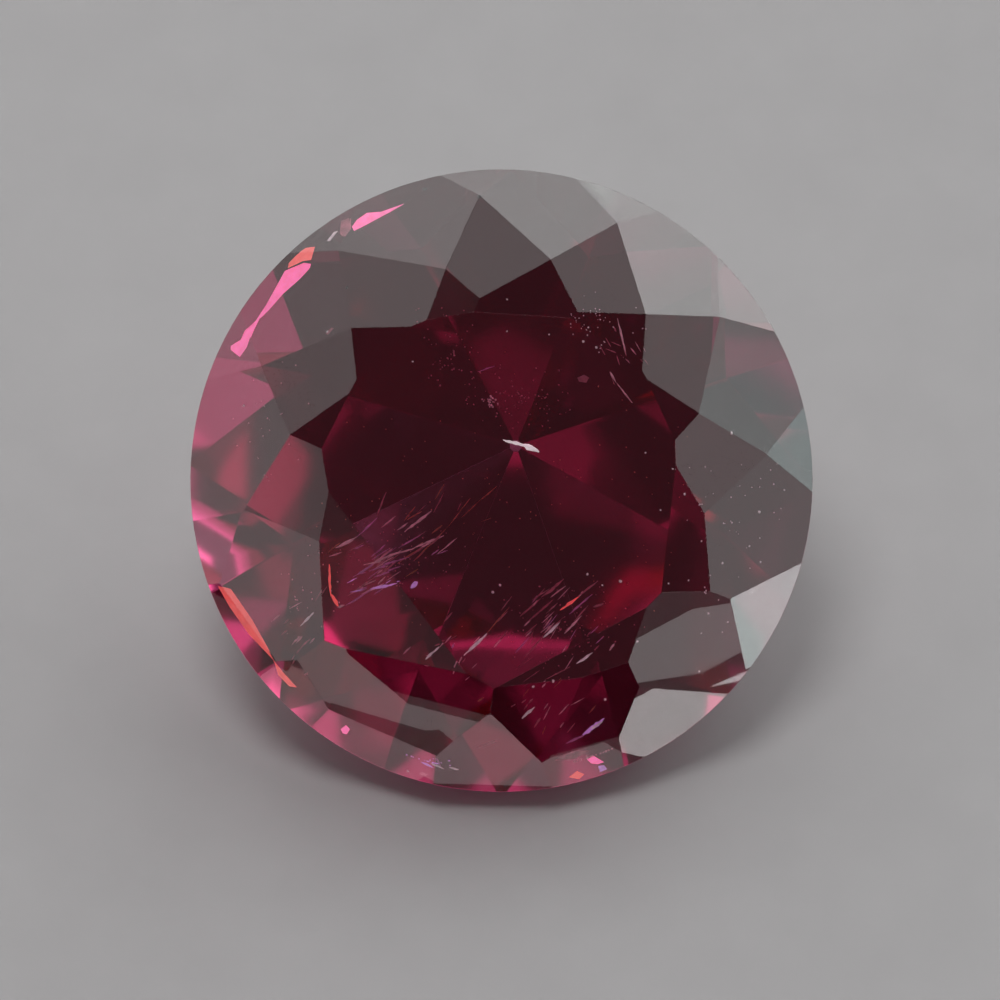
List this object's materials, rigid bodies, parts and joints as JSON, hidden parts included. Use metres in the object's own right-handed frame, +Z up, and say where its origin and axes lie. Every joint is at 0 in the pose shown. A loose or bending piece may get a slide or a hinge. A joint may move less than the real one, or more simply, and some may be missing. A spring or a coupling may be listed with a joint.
{
  "type": "faceted round gemstone",
  "caption": "Loose round faceted rubellite tourmaline, clear purplish red with fine inclusions and an uneven hand-cut crown, lying on a pavilion facet.",
  "frame": {"origin": "middle of the stone's footprint box, on the surface that it lies on", "axes": "+Z up, +X along the girdle, the crown and table lean towards -Y"},
  "size_m": [0.009, 0.0074, 0.0057],
  "materials": {
    "rubellite": "polished facets, clear dark purplish red, pink where thin"
  },
  "bodies": {
    "root": {"rubellite_stone": "rubellite"}
  },
  "joints": []
}
